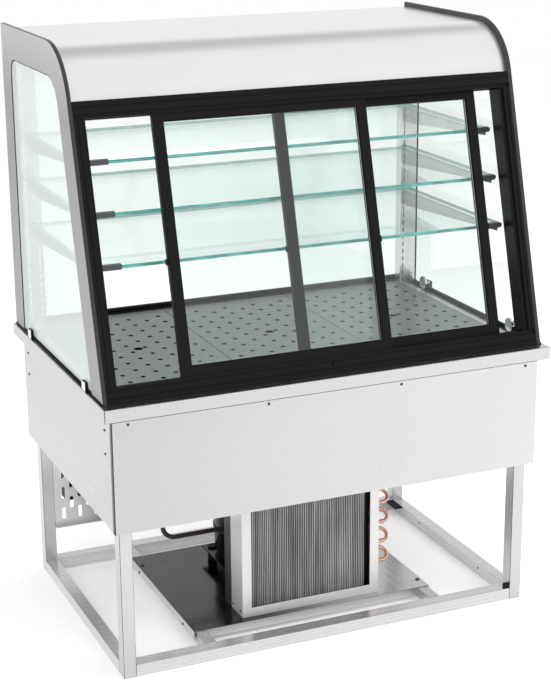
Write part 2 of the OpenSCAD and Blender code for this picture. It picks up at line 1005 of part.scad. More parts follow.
ceiling_z = 1376;
module ceiling_panel() {
    foot = door_point(frame_d, head_top);
    knee = [front + 268, ceiling_z];
    back = rear_glass_y - 1;
    color(steel)
        along_x(-inner_side, inner_side)
            polygon([
                door_point(frame_d - sheet, head_top),
                foot,
                [knee[0] + sheet, knee[1]],
                [back, knee[1]],
                [back, knee[1] + sheet],
                [knee[0], knee[1] + sheet]
            ]);
}

lamp_x = 520;
lamp_front = front + 276;
lamp_d = 44;
module lamp_housing()
    color("white")
        difference() {
            box([-lamp_x, lamp_front, ceiling_z - 24], [lamp_x, lamp_front + lamp_d, ceiling_z]);
            box([-lamp_x + 4, lamp_front + 3, ceiling_z - 25],
                [lamp_x - 4, lamp_front + lamp_d - 3, ceiling_z - 10]);
        }

module lamp_diffuser()
    color("lightyellow")
        along_x(-lamp_x + 4, lamp_x - 4)
            intersection() {
                translate([lamp_front + lamp_d / 2, ceiling_z - 18])
                    circle(d = lamp_d - 6);
                translate([lamp_front, ceiling_z - 34])
                    square([lamp_d, 20]);
            }

rear_glass_x = 538;
rear_glass_y = front + 734;
rear_glass_t = 6;
module rear_glass()
    color(glass_tint)
        box([-rear_glass_x, rear_glass_y, flange_top + 6],
            [rear_glass_x, rear_glass_y + rear_glass_t, 1400]);

// ---- Door frame ----

module frame_head() {
    s0 = head_s;
    s1 = head_top;
    roof = s0 + 18;
    color(black)
        on_door_plane()
            along_x(-inner_side, inner_side)
                difference() {
                    polygon([
                        [step_depth, s0],
                        [step_depth, s0 + frame_step],
                        [0, s0 + frame_step],
                        [0, s1],
                        [frame_d, s1],
                        [frame_d, s0]
                    ]);
                    door_groove(outer_n, s0 - 1, roof);
                    door_groove(inner_n, s0 - 1, roof);
                    translate([-1, s1 - 14])
                        square([3, 2]);
                }
}

module door_groove(n, s0, s1)
    translate([n - groove_fit, s0])
        square([door_t + 2 * groove_fit, s1 - s0]);

notch_w = 4;
notch_h = 10;
notch_d = 3;
module frame_sill() {
    toe = frame_d * tan(lean);
    color(black)
        on_door_plane()
            difference() {
                along_x(-inner_side, inner_side)
                    difference() {
                        polygon([
                            [0, 0],
                            [frame_d, toe],
                            [frame_d, frame_band],
                            [step_depth, frame_band],
                            [step_depth, frame_band - frame_step],
                            [0, frame_band - frame_step]
                        ]);
                        door_groove(outer_n, track_s, frame_band + 1);
                        door_groove(inner_n, track_s, frame_band + 1);
                        translate([-1, 12])
                            square([3, 2]);
                    }
                along_x(-notch_w / 2, notch_w / 2)
                    translate([-1, frame_band - frame_step - notch_h])
                        square([notch_d + 1, notch_h + 1]);
            }
}

module frame_jambs()
    color(black)
        both_sides()
            on_door_plane()
                translate([0, 0, frame_band])
                    linear_extrude(head_s - frame_band)
                        difference() {
                            translate([jamb_x, 0])
                                square([inner_side - jamb_x, frame_d]);
                            translate([jamb_x - 1, -1])
                                square([frame_step + 1, step_depth + 1]);
                            translate([inner_side - 10, -1])
                                square([2, 3]);
                            translate([jamb_x + 2.5, step_depth + 2.5])
                                square([inner_side - jamb_x - 5, frame_d - step_depth - 5]);
                        }

// ---- Sliding doors ----

// One door's frame with its left edge at x and its front face at depth n
module door_frame(x, n) {
    glass_n = n + (door_t - door_glass_t) / 2;
    color(black)
        on_door_plane()
            difference() {
                union() {
                    difference() {
                        box([x, n, door_low], [x + door_w, n + door_t, door_top]);
                        box([x + stile_w, n - 1, door_sill_top],
                            [x + door_w - stile_w, n + door_t + 1, door_head_low]);
                        for (r = door_roller_spots(x))
                            box([r - 11, n + (door_t - roller_t) / 2 - 0.5, door_low - 1],
                                [r + 11, n + (door_t + roller_t) / 2 + 0.5, roller_s + roller_r + 1]);
                    }
                    for (r = door_roller_spots(x))
                        translate([r, n + 1, roller_s])
                            rotate([-90, 0, 0])
                                cylinder(h = door_t - 2, r = pin_r);
                    for (bx = [x - bumper_t, x + door_w])
                        box([bx, n + 3, bumper_s - 7], [bx + bumper_t, n + door_t - 3, bumper_s + 7]);
                }
                door_glass_space(x, glass_n);
            }
}

module door_glass_space(x, n)
    box([x + stile_w - glass_bite, n, door_sill_top - glass_bite],
        [x + door_w - stile_w + glass_bite, n + door_glass_t, door_head_low + glass_bite]);

module door_glass(x, n)
    color(glass_tint)
        on_door_plane()
            door_glass_space(x, n + (door_t - door_glass_t) / 2);

function door_roller_spots(x) = [x + door_w / 2 - roller_x, x + door_w / 2 + roller_x];

module door_roller(x, n)
    color("ivory")
        on_door_plane()
            translate([x, n + (door_t - roller_t) / 2, roller_s])
                rotate([-90, 0, 0])
                    difference() {
                        cylinder(h = roller_t, r = roller_r);
                        translate([0, 0, -1])
                            cylinder(h = roller_t + 2, r = pin_r + running_fit);
                    }

module outer_door_frame()
    door_frame(outer_left, outer_n);

module outer_door_glass()
    door_glass(outer_left, outer_n);

module outer_door_roller_left()
    door_roller(door_roller_spots(outer_left)[0], outer_n);

module outer_door_roller_right()
    door_roller(door_roller_spots(outer_left)[1], outer_n);

module inner_door_frame()
    door_frame(inner_left, inner_n);

module inner_door_glass()
    door_glass(inner_left, inner_n);

module inner_door_roller_left()
    door_roller(door_roller_spots(inner_left)[0], inner_n);

module inner_door_roller_right()
    door_roller(door_roller_spots(inner_left)[1], inner_n);

// ---- Shelves ----

module glass_shelves()
    color(glass_tint)
        for (i = [0:2])
            box([-shelf_x, shelf_fronts[i], shelf_low + i * shelf_step - shelf_t / 2],
                [shelf_x, shelf_back, shelf_low + i * shelf_step + shelf_t / 2]);

// Slotted channels in the rear corners
module shelf_uprights() {
    slot_pitch = 20;
    slot_count = floor((upright_high - upright_low - 30) / slot_pitch);
    color(steel)
        both_sides()
            difference() {
                box([upright_x, upright_front, upright_low],
                    [inner_side, upright_front + upright_d, upright_high]);
                box([upright_x + sheet, upright_front + sheet, upright_low - 1],
                    [inner_side - sheet, upright_front + upright_d + 1, upright_high + 1]);
                translate([0, upright_front + sheet + 1, 0])
                    rotate([90, 0, 0])
                        linear_extrude(sheet + 2)
                            for (x = [bracket_x, inner_side - 9], k = [0:slot_count])
                                translate([x - 2, upright_low + 10 + k * slot_pitch])
                                    square([4, 12]);
            }
}

// A tapering arm under each end of every shelf, hooked into an upright, with a
// shoe that holds the front edge of the glass
module shelf_brackets()
    color("#4b5053")
        both_sides()
            for (i = [0:2])
                shelf_bracket(shelf_fronts[i], shelf_low + i * shelf_step - shelf_t / 2);

module shelf_bracket(y0, z) {
    along_x(bracket_x - bracket_t / 2, bracket_x + bracket_t / 2)
        polygon([
            [y0 + 2, z],
            [upright_front, z],
            [upright_front, z - 42],
            [y0 + 2, z - 10]
        ]);
    difference() {
        box([bracket_x + 8 - shoe_w, y0 - 2, z - 2], [bracket_x + 8, y0 + shoe_t, z + shelf_t + 2]);
        box([bracket_x + 7 - shoe_w, y0, z], [bracket_x + 9, y0 + shoe_t + 1, z + shelf_t]);
    }
}

// ---- Fasteners ----

screw_r = 3.5;
screw_h = 1.6;
screw_sink = 1.5;
module screws()
    color("gray") {
        for (x = [-503, -167, 171, 508])
            translate([x, tank_front, flange_top - 46])
                rotate([90, 0, 0])
                    cylinder(h = screw_h, r = screw_r);
        both_sides()
            for (y = [front + 72, front + 702], z = [544, 600])
                translate([tank_x, y, z])
                    rotate([0, 90, 0])
                        cylinder(h = screw_h, r = screw_r);
        both_sides()
            for (y = [front + 175, front + 545])
                translate([tray_rail_x + 7, y, rail_h])
                    union() {
                        cylinder(h = 2 + eps, r = 3.2);
                        translate([0, 0, 2])
                            cylinder(h = 2, r = 6);
                    }
        both_sides()
            for (y = [front + 168, front + 214])
                side_screw(cond_x, y, 46);
        both_sides()
            for (y = [front + 213, front + 538])
                side_screw(tray_x, y, 18);
    }

module side_screw(x, y, z)
    translate([x, y, z])
        rotate([0, 90, 0])
            cylinder(h = screw_h, r = screw_r - 0.5);

legs();
foot_plugs();
bottom_rails();
tray_rails();
corner_plugs();
machine_tray();
condenser_casing();
condenser_fins();
condenser_tubes();
fan_shroud();
condenser_fan();
condenser_fan_motor();
compressor();
compressor_mounts();
suction_line();
discharge_line();
liquid_line();
filter_drier();
perforated_panel();
control_box();
cable_gland();
tank_shell();
tank_front_panel();
tank_insulation();
tank_liner();
drain_pipe();
evaporator_fins();
evaporator_tubes();
fan_baffle();
evaporator_fan_left();
evaporator_fan_right();
evaporator_fan_motors();
counter_flange();
deck_plates();
side_panel_left();
side_panel_right();
side_glasses();
glass_gaskets();
glass_clamps();
clamp_discs();
canopy();
ceiling_panel();
lamp_housing();
lamp_diffuser();
rear_glass();
frame_head();
frame_sill();
frame_jambs();
outer_door_frame();
outer_door_glass();
outer_door_roller_left();
outer_door_roller_right();
inner_door_frame();
inner_door_glass();
inner_door_roller_left();
inner_door_roller_right();
glass_shelves();
shelf_uprights();
shelf_brackets();
screws();
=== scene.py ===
import math

import bmesh
import bpy
from mathutils import Matrix, Vector


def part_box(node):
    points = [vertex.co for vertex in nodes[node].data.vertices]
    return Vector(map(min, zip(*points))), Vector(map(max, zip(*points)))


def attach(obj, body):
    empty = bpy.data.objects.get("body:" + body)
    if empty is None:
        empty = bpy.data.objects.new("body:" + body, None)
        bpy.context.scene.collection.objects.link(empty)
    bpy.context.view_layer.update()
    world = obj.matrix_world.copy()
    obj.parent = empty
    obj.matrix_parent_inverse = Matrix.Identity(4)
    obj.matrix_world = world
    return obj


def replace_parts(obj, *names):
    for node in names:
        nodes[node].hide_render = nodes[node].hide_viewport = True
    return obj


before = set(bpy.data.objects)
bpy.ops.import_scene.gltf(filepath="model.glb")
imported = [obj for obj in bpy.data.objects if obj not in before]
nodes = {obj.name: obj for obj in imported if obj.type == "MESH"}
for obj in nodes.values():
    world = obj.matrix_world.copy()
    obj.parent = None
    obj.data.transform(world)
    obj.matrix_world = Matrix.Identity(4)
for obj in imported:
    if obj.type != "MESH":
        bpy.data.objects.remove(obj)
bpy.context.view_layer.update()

# The body that everything fixed belongs to
CABINET = "cabinet"
# How far the doors lean back from upright
LEAN = math.radians(15.5)

# ---------------------------------------------------------------- node trees

# The share of light that glass mirrors when seen head-on
HEAD_ON_MIRROR = 0.04


class Nodes:
    """A short way to write a node tree."""

    def __init__(self, tree):
        self.tree = tree

    def add(self, kind, **inputs):
        node = self.tree.nodes.new(kind)
        for key, value in inputs.items():
            setattr(node, key, value)
        return node

    def link(self, a, b):
        self.tree.links.new(a, b)

    def noise(self, stretch, detail=4.0):
        """Noise in object space, with stretch cycles to the metre along each axis."""
        coord = self.add("ShaderNodeTexCoord")
        mapping = self.add("ShaderNodeMapping")
        mapping.inputs["Scale"].default_value = stretch
        noise = self.add("ShaderNodeTexNoise")
        noise.inputs["Scale"].default_value = 1.0
        noise.inputs["Detail"].default_value = detail
        noise.inputs["Roughness"].default_value = 0.55
        self.link(coord.outputs["Object"], mapping.inputs["Vector"])
        self.link(mapping.outputs["Vector"], noise.inputs["Vector"])
        return noise.outputs["Fac"]

    def ramp(self, fac, stops):
        """A colour ramp through stops of (place, colour)."""
        ramp = self.add("ShaderNodeValToRGB")
        while len(ramp.color_ramp.elements) < len(stops):
            ramp.color_ramp.elements.new(0.5)
        for element, (place, colour) in zip(ramp.color_ramp.elements, stops):
            element.position = place
            element.color = (*colour, 1.0)
        self.link(fac, ramp.inputs["Fac"])
        return ramp.outputs["Color"]

    def span(self, fac, low, high, source=(0.3, 0.7)):
        """Maps source onto low to high, and holds the ends."""
        span = self.add("ShaderNodeMapRange")
        span.inputs["From Min"].default_value = source[0]
        span.inputs["From Max"].default_value = source[1]
        span.inputs["To Min"].default_value = low
        span.inputs["To Max"].default_value = high
        self.link(fac, span.inputs["Value"])
        return span.outputs["Result"]

    def maths(self, operation, *values):
        node = self.add("ShaderNodeMath", operation=operation)
        for socket, value in zip(node.inputs, values):
            if isinstance(value, (int, float)):
                socket.default_value = value
            else:
                self.link(value, socket)
        return node.outputs["Value"]

    def axes(self, output="Object"):
        """The X, Y and Z sockets of a texture coordinate."""
        coord = self.add("ShaderNodeTexCoord")
        split = self.add("ShaderNodeSeparateXYZ")
        self.link(coord.outputs[output], split.inputs["Vector"])
        return [split.outputs[axis] for axis in "XYZ"]

    def multiply(self, tone, by, factor=1.0):
        """The colour tone times the colour by, as far as factor says."""
        mix = self.add("ShaderNodeMix", data_type="RGBA", blend_type="MULTIPLY")
        if isinstance(factor, float):
            mix.inputs["Factor"].default_value = factor
        else:
            self.link(factor, mix.inputs["Factor"])
        self.link(tone, mix.inputs["A"])
        self.link(by, mix.inputs["B"])
        return mix.outputs["Result"]

    def inside(self, axes, box):
        """1 where the object-space point lies in the box, else 0; None leaves an axis free."""
        result = None
        for axis, span in zip(axes, box):
            if span is None:
                continue
            centre, half = (span[0] + span[1]) / 2, (span[1] - span[0]) / 2
            here = self.maths("COMPARE", axis, centre, half)
            result = here if result is None else self.maths("MULTIPLY", result, here)
        return result

    def bump(self, height, strength, distance):
        bump = self.add("ShaderNodeBump")
        bump.inputs["Strength"].default_value = strength
        bump.inputs["Distance"].default_value = distance
        self.link(height, bump.inputs["Height"])
        return bump.outputs["Normal"]


def fresh(name):
    """An empty material and its node writer."""
    material = bpy.data.materials.new(name)
    material.use_nodes = True
    material.node_tree.nodes.clear()
    return material, Nodes(material.node_tree)


def grey(level):
    return (level,) * 3


def shades(colour, spread):
    """The colour a little darker, as it is, and a little lighter."""
    return [tuple(max(0.0, c * k) for c in colour) for k in (1 - spread, 1.0, 1 + spread)]


def surface(name, colour, rough, metal, stretch, spread, rough_spread, bump, depth,
            cloud=0.0, gloss=0.5, shade_ramp=None, dark_boxes=(), dark_tone=0.10):
    """A Principled surface whose colour, roughness and bump follow one noise, stretched for a grain.

    A cloud darkens wide patches by up to that share.
    A shade ramp (axis, low, high, tone) is painted shade: it darkens the sheet to tone at low and leaves
    it alone from high on.
    Inside the dark boxes, boxes in object space, the colour drops to the dark tone share of itself; they
    draw dark seams, and painted shadow too.
    """
    material, n = fresh(name)
    grain = n.noise(stretch)
    low, mid, high = shades(colour, spread)
    tone = n.ramp(grain, [(0.3, low), (0.5, mid), (0.7, high)])
    if cloud:
        patches = n.ramp(n.noise((3.1, 2.7, 3.7), detail=3.0), [(0.3, grey(1 - cloud)), (0.7, grey(1.0))])
        tone = n.multiply(tone, patches)
    if shade_ramp:
        axis, shade_low, shade_high, shade_tone = shade_ramp
        along = n.span(n.axes()["XYZ".index(axis)], 0.0, 1.0, (shade_low, shade_high))
        tone = n.multiply(tone, n.ramp(along, [(0.0, grey(shade_tone)), (1.0, grey(1.0))]))
    if dark_boxes:
        axes = n.axes()
        dark = None
        for box in dark_boxes:
            here = n.inside(axes, box)
            dark = here if dark is None else n.maths("MAXIMUM", dark, here)
        darkening = n.ramp(grain, [(0.0, grey(dark_tone * 0.8)), (1.0, grey(dark_tone * 1.2))])
        tone = n.multiply(tone, darkening, dark)
    shader = n.add("ShaderNodeBsdfPrincipled")
    shader.inputs["Metallic"].default_value = metal
    shader.inputs["Specular IOR Level"].default_value = gloss
    n.link(tone, shader.inputs["Base Color"])
    n.link(n.span(grain, rough - rough_spread, rough + rough_spread), shader.inputs["Roughness"])
    n.link(n.bump(grain, bump, depth), shader.inputs["Normal"])
    out = n.add("ShaderNodeOutputMaterial")
    n.link(shader.outputs["BSDF"], out.inputs["Surface"])
    return material


def pane(name, tint, sheen_veil=0.0):
    """Clear glass: what is behind it shows through, with a mirror that grows at grazing angles.

    A veil is the share of a pale haze laid over the glass: painted sheen that stands in for the pale
    reflection on the pane.
    """
    material, n = fresh(name)
    cloud = n.noise((2.3, 2.3, 1.4), detail=5.0)
    clear = n.add("ShaderNodeBsdfTransparent")
    low, mid, high = shades(tint, 0.02)
    n.link(n.ramp(cloud, [(0.3, low), (0.5, mid), (0.7, high)]), clear.inputs["Color"])
    mirror = n.add("ShaderNodeBsdfGlossy")
    mirror.inputs["Color"].default_value = (1, 1, 1, 1)
    mirror.inputs["Roughness"].default_value = 0.02
    facing_away = n.add("ShaderNodeLayerWeight")
    facing_away.inputs["Blend"].default_value = 0.5
    grazing = n.maths("POWER", facing_away.outputs["Facing"], 5.0)
    mix = n.add("ShaderNodeMixShader")
    n.link(n.maths("MULTIPLY_ADD", grazing, 1 - HEAD_ON_MIRROR, HEAD_ON_MIRROR), mix.inputs["Fac"])
    n.link(clear.outputs["BSDF"], mix.inputs[1])
    n.link(mirror.outputs["BSDF"], mix.inputs[2])
    result = mix
    if sheen_veil:
        sheen_haze = n.add("ShaderNodeBsdfDiffuse")
        sheen_haze.inputs["Color"].default_value = (0.9, 0.97, 0.96, 1)
        over = n.add("ShaderNodeMixShader")
        over.inputs["Fac"].default_value = sheen_veil
        n.link(mix.outputs["Shader"], over.inputs[1])
        n.link(sheen_haze.outputs["BSDF"], over.inputs[2])
        result = over
    out = n.add("ShaderNodeOutputMaterial")
    n.link(result.outputs["Shader"], out.inputs["Surface"])
    return material


def glow(name, colour, strength):
    """A lit diffuser."""
    material, n = fresh(name)
    wave = n.noise((4, 4, 4), detail=2.0)
    shader = n.add("ShaderNodeBsdfPrincipled")
    shader.inputs["Emission Strength"].default_value = strength
    low, mid, high = shades(colour, 0.03)
    tone = n.ramp(wave, [(0.3, low), (0.5, mid), (0.7, high)])
    n.link(tone, shader.inputs["Emission Color"])
    n.link(tone, shader.inputs["Base Color"])
    n.link(n.span(wave, 0.3, 0.45), shader.inputs["Roughness"])
    out = n.add("ShaderNodeOutputMaterial")
    n.link(shader.outputs["BSDF"], out.inputs["Surface"])
    return material


# ---------------------------------------------------------------- materials

# Cycles to the metre: brushed grain, long along one axis
GRAIN_X = (2, 900, 900)
GRAIN_Z = (900, 900, 2)
GRAIN_Y = (900, 2, 900)
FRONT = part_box("counter_flange")[0].y
SKIRT_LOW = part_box("counter_flange")[0].z
FLANGE_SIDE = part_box("counter_flange")[1].x
TANK_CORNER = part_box("tank_front_panel")[1].x
# The skin of the flange's skirt, in Y
SKIRT_FACE = (FRONT - 0.001, FRONT + 0.0004)
# The fin pack's right end plate lies beyond this X and stays black
FIN_EDGE, FIN_REACH = 0.1462, 0.2
STEEL = (0.64, 0.632, 0.630)
# A finish so fine that it only just varies
FINE = dict(spread=0.005, rough_spread=0.015, bump=0.006, depth=0.00002)
# Painted shade: the flange is painted a little darker towards its left end; the dark boxes darken thin
# strips at the two ends of its skirt.
flange_steel = surface(
    "flange_steel", (0.605, 0.597, 0.595), rough=0.27, metal=1.0, stretch=GRAIN_X, cloud=0.02,
    shade_ramp=("X", -0.5, 0.5, 0.92), **FINE,
    dark_boxes=[
        ((-FLANGE_SIDE - 0.001, -FLANGE_SIDE + 0.0018), SKIRT_FACE, None),
        ((FLANGE_SIDE - 0.0012, FLANGE_SIDE + 0.001), SKIRT_FACE, None),
    ])
# Painted shade: the tank front is painted darker towards its left end, and its first dark box paints the
# shadow under the flange's skirt; the second is the dark seam at its left corner.
front_steel = surface(
    "front_steel", STEEL, rough=0.27, metal=1.0, stretch=GRAIN_X, cloud=0.02,
    shade_ramp=("X", -0.5, 0.5, 0.83), **FINE,
    dark_boxes=[
        # Painted shadow under the skirt's lower edge
        (None, (FRONT + 0.019, FRONT + 0.0205), (SKIRT_LOW - 0.0085, SKIRT_LOW + 0.002)),
        ((-TANK_CORNER - 0.001, -TANK_CORNER + 0.0026), None, None),
    ])
steel_x = surface(
    "steel_grain_x", (0.66, 0.65, 0.648), rough=0.27, metal=1.0, stretch=GRAIN_X, cloud=0.02, **FINE)
steel_y = surface(
    "steel_grain_y", (0.545, 0.545, 0.545), rough=0.27, metal=1.0, stretch=GRAIN_Y, cloud=0.02, **FINE)
steel_z = surface(
    "steel_grain_z", (0.70, 0.69, 0.69), rough=0.24, metal=1.0, stretch=GRAIN_Z, spread=0.015,
    rough_spread=0.04, bump=0.015, depth=0.00002, cloud=0.05)
case_steel = surface(
    "case_steel", (0.81, 0.80, 0.795), rough=0.32, metal=0.4, stretch=GRAIN_Z, spread=0.012,
    rough_spread=0.04, bump=0.015, depth=0.00002, cloud=0.10)
tube_z = surface(
    "tube_grain_z", (0.60, 0.59, 0.59), rough=0.24, metal=0.8, stretch=GRAIN_Z, spread=0.015,
    rough_spread=0.04, bump=0.015, depth=0.00002, cloud=0.05)
tube_x = surface(
    "tube_grain_x", (0.70, 0.69, 0.69), rough=0.25, metal=0.7, stretch=GRAIN_X, spread=0.015,
    rough_spread=0.04, bump=0.015, depth=0.00002, cloud=0.05)
# Painted shade for bevelled edges, folds and hole walls
steel_edge_shade = surface(
    "steel_edge_shade", (0.10, 0.10, 0.10), rough=0.5, metal=1.0, stretch=(60, 60, 60), spread=0.2,
    rough_spread=0.05, bump=0.1, depth=0.0001)
# Painted shade: the tray is painted almost black towards its left end.
tray_steel = surface(
    "tray_steel", (0.60, 0.59, 0.59), rough=0.19, metal=1.0, stretch=(150, 4, 150), spread=0.12,
    rough_spread=0.06, bump=0.25, depth=0.0001, cloud=0.3, shade_ramp=("X", -0.12, 0.15, 0.13))
deck_steel = surface(
    "deck_steel", (0.20, 0.225, 0.23), rough=0.30, metal=1.0, stretch=GRAIN_X, spread=0.02,
    rough_spread=0.04, bump=0.05, depth=0.00004, cloud=0.1)
panel_steel = surface(
    "slotted_sheet", (0.84, 0.82, 0.82), rough=0.34, metal=1.0, stretch=GRAIN_Z, spread=0.03,
    rough_spread=0.05, bump=0.05, depth=0.00004, cloud=0.12)
# Painted light: the side panels are painted darker below their top band, so the top looks lit.
panel_paint = surface(
    "panel_paint", (0.54, 0.535, 0.535), rough=0.42, metal=0.35, stretch=(600, 600, 40), spread=0.03,
    rough_spread=0.05, bump=0.06, depth=0.00005, cloud=0.08, shade_ramp=("Z", 1.27, 1.42, 0.63))
edge_paint = surface(
    "graphite_edge", (0.028, 0.029, 0.030), rough=0.36, metal=0.0, stretch=(900, 900, 900), spread=0.15,
    rough_spread=0.06, bump=0.10, depth=0.0001, gloss=0.4)
canopy_paint = surface(
    "canopy_satin", (0.88, 0.875, 0.875), rough=0.30, metal=0.8, stretch=(2, 800, 800), cloud=0.02,
    **FINE)
frame_black = surface(
    "frame_black", (0.0065, 0.0063, 0.0066), rough=0.32, metal=0.0, stretch=(1300, 1300, 1300),
    spread=0.25, rough_spread=0.07, bump=0.10, depth=0.00005, gloss=0.14)
seal_black = surface(
    "seal_rubber", (0.006, 0.006, 0.006), rough=0.6, metal=0.0, stretch=(700, 700, 700), spread=0.3,
    rough_spread=0.1, bump=0.3, depth=0.0002, gloss=0.15)
plastic_black = surface(
    "black_plastic", (0.006, 0.006, 0.0065), rough=0.45, metal=0.0, stretch=(500, 500, 500), spread=0.2,
    rough_spread=0.1, bump=0.25, depth=0.0002, gloss=0.12)
screw_dark = surface(
    "screw_dark", (0.10, 0.10, 0.102), rough=0.45, metal=0.6, stretch=(900, 900, 900), spread=0.2,
    rough_spread=0.08, bump=0.2, depth=0.0001, gloss=0.3)
# Painted highlight for the beads' faces that look along the glass
bead_highlight = surface(
    "bead_highlight", (0.72, 0.76, 0.75), rough=0.16, metal=0.7, stretch=(300, 300, 300), spread=0.04,
    rough_spread=0.05, bump=0.05, depth=0.0001)
shroud_paint = surface(
    "shroud_paint", (0.028, 0.029, 0.031), rough=0.42, metal=0.0, stretch=(400, 400, 400), spread=0.2,
    rough_spread=0.1, bump=0.25, depth=0.0002, cloud=0.2)
motor_paint = surface(
    "motor_paint", (0.05, 0.052, 0.055), rough=0.45, metal=0.2, stretch=(300, 300, 300), spread=0.2,
    rough_spread=0.1, bump=0.25, depth=0.0002, cloud=0.2)
compressor_paint = surface(
    "compressor_enamel", (0.004, 0.004, 0.0045), rough=0.24, metal=0.0, stretch=(90, 90, 90),
    spread=0.2, rough_spread=0.05, bump=0.08, depth=0.0002, gloss=0.22)
copper = surface(
    "copper_tube", (0.80, 0.50, 0.37), rough=0.24, metal=1.0, stretch=(180, 180, 180), spread=0.10,
    rough_spread=0.08, bump=0.12, depth=0.0002, cloud=0.15)
sleeve = surface(
    "pipe_sleeve", (0.045, 0.030, 0.024), rough=0.62, metal=0.0, stretch=(260, 260, 260), spread=0.3,
    rough_spread=0.1, bump=0.4, depth=0.0003)
fins = surface(
    "fin_alloy", (0.54, 0.54, 0.55), rough=0.40, metal=0.85, stretch=(85, 85, 3), spread=0.55,
    rough_spread=0.12, bump=0.2, depth=0.0003, cloud=0.25, dark_tone=0.015,
    dark_boxes=[((FIN_EDGE, FIN_REACH), None, None)])
evap_fins = surface(
    "evaporator_alloy", (0.66, 0.67, 0.68), rough=0.36, metal=0.9, stretch=(300, 300, 8), spread=0.12,
    rough_spread=0.1, bump=0.2, depth=0.0003)
foam = surface(
    "foam", (0.80, 0.70, 0.44), rough=0.9, metal=0.0, stretch=(160, 160, 160), spread=0.12,
    rough_spread=0.05, bump=0.6, depth=0.001)
white_plastic = surface(
    "white_plastic", (0.86, 0.86, 0.83), rough=0.35, metal=0.0, stretch=(300, 300, 300), spread=0.03,
    rough_spread=0.08, bump=0.1, depth=0.0002)
bracket_paint = surface(
    "bracket_paint", (0.075, 0.08, 0.085), rough=0.4, metal=0.1, stretch=(800, 800, 800), spread=0.15,
    rough_spread=0.08, bump=0.15, depth=0.0001)
# Bright metal for the clamp discs, and a painted highlight on the clamp blocks' side faces
chrome_and_highlight = surface(
    "bright_metal", (0.86, 0.86, 0.86), rough=0.10, metal=1.0, stretch=(220, 220, 220), spread=0.03,
    rough_spread=0.04, bump=0.05, depth=0.0001)
roller_plastic = surface(
    "roller_plastic", (0.82, 0.79, 0.70), rough=0.35, metal=0.0, stretch=(400, 400, 400), spread=0.05,
    rough_spread=0.08, bump=0.15, depth=0.0002)
glass_clear = pane("door_glass", (0.965, 0.990, 0.985))
glass_side = pane("side_glass", (0.985, 0.997, 0.992))
glass_sheen_veiled = pane("side_glass_painted_sheen", (0.80, 0.85, 0.85), sheen_veil=0.50)
glass_rear = pane("rear_glass", (0.985, 0.997, 0.993))
glass_shelf = pane("shelf_glass", (0.945, 0.985, 0.975))
glass_edge = surface(
    "shelf_edge", (0.10, 0.40, 0.36), rough=0.16, metal=0.0, stretch=(24, 200, 200), spread=0.5,
    rough_spread=0.06, bump=0.1, depth=0.0002)
lamp_glow = glow("lamp_glow", (1.0, 0.90, 0.70), 9.0)

PAINT = {
    "counter_flange": flange_steel, "tank_shell": steel_y, "tank_front_panel": front_steel,
    "legs": tube_z, "bottom_rails": tube_x, "tray_rails": steel_y, "machine_tray": tray_steel,
    "condenser_casing": case_steel, "perforated_panel": panel_steel, "deck_plates": deck_steel,
    "tank_liner": steel_x, "fan_baffle": steel_x, "shelf_uprights": steel_z,
    "tank_insulation": foam, "drain_pipe": white_plastic,
    "foot_plugs": plastic_black, "corner_plugs": plastic_black, "control_box": plastic_black,
    "cable_gland": plastic_black, "glass_clamps": plastic_black, "clamp_discs": chrome_and_highlight,
    "condenser_fins": fins, "evaporator_fins": evap_fins, "fan_shroud": shroud_paint,
    "condenser_fan": plastic_black, "evaporator_fan_left": plastic_black,
    "evaporator_fan_right": plastic_black, "condenser_fan_motor": motor_paint,
    "evaporator_fan_motors": motor_paint, "compressor": compressor_paint,
    "compressor_mounts": seal_black, "condenser_tubes": copper, "evaporator_tubes": copper,
    "discharge_line": copper, "liquid_line": copper, "filter_drier": copper,
    "suction_line": sleeve, "canopy": canopy_paint, "ceiling_panel": white_plastic,
    "lamp_housing": white_plastic, "lamp_diffuser": lamp_glow,
    "side_panel_left": panel_paint, "side_panel_right": panel_paint,
    "side_glasses": glass_side, "rear_glass": glass_rear, "outer_door_glass": glass_clear,
    "inner_door_glass": glass_clear, "glass_gaskets": seal_black, "glass_shelves": glass_shelf,
    "frame_head": frame_black, "frame_sill": frame_black, "frame_jambs": frame_black,
    "outer_door_frame": frame_black, "inner_door_frame": frame_black,
    "shelf_brackets": bracket_paint, "screws": screw_dark,
    "outer_door_roller_left": roller_plastic, "outer_door_roller_right": roller_plastic,
    "inner_door_roller_left": roller_plastic, "inner_door_roller_right": roller_plastic,
}


def paint_faces(name, material, chosen):
    """The faces of a node that chosen(face) picks take a further material."""
    mesh = nodes[name].data
    mesh.materials.append(material)
    slot = len(mesh.materials) - 1
    for face in mesh.polygons:
        if chosen(face):
            face.material_index = slot


for name, material in PAINT.items():
    nodes[name].data.materials.clear()
    paint_faces(name, material, lambda face: True)

paint_faces("side_panel_left", edge_paint, lambda face: face.normal.x > -0.5)
paint_faces("side_panel_right", edge_paint, lambda face: face.normal.x < 0.5)
# The left pane's outer face takes the veiled glass, whose pale haze is painted sheen
paint_faces("side_glasses", glass_sheen_veiled, lambda face: face.normal.x < -0.5 and face.center.x < 0)
# The clamp blocks' side faces take bright metal: a painted highlight for their lit sides.
paint_faces("glass_clamps", chrome_and_highlight, lambda face: abs(face.normal.x) > 0.5)
paint_faces("glass_shelves", glass_edge, lambda face: abs(face.normal.z) < 0.5)
# The notch at the middle of the sill
paint_faces("frame_sill", seal_black, lambda face: abs(face.center.x) < 0.0025 and face.area < 1e-4)
# Hole walls and folds are painted dark with the bevelled edges, which take the same second material:
# painted shade
DARK_EDGED = ("legs", "bottom_rails", "tray_rails", "machine_tray")
for name in DARK_EDGED:
    paint_faces(name, steel_edge_shade, lambda face: max(abs(axis) for axis in face.normal) < 0.999)
# The tray's upturned lips
paint_faces("machine_tray", steel_x, lambda face: face.normal.y < -0.9 or abs(face.normal.x) > 0.9)

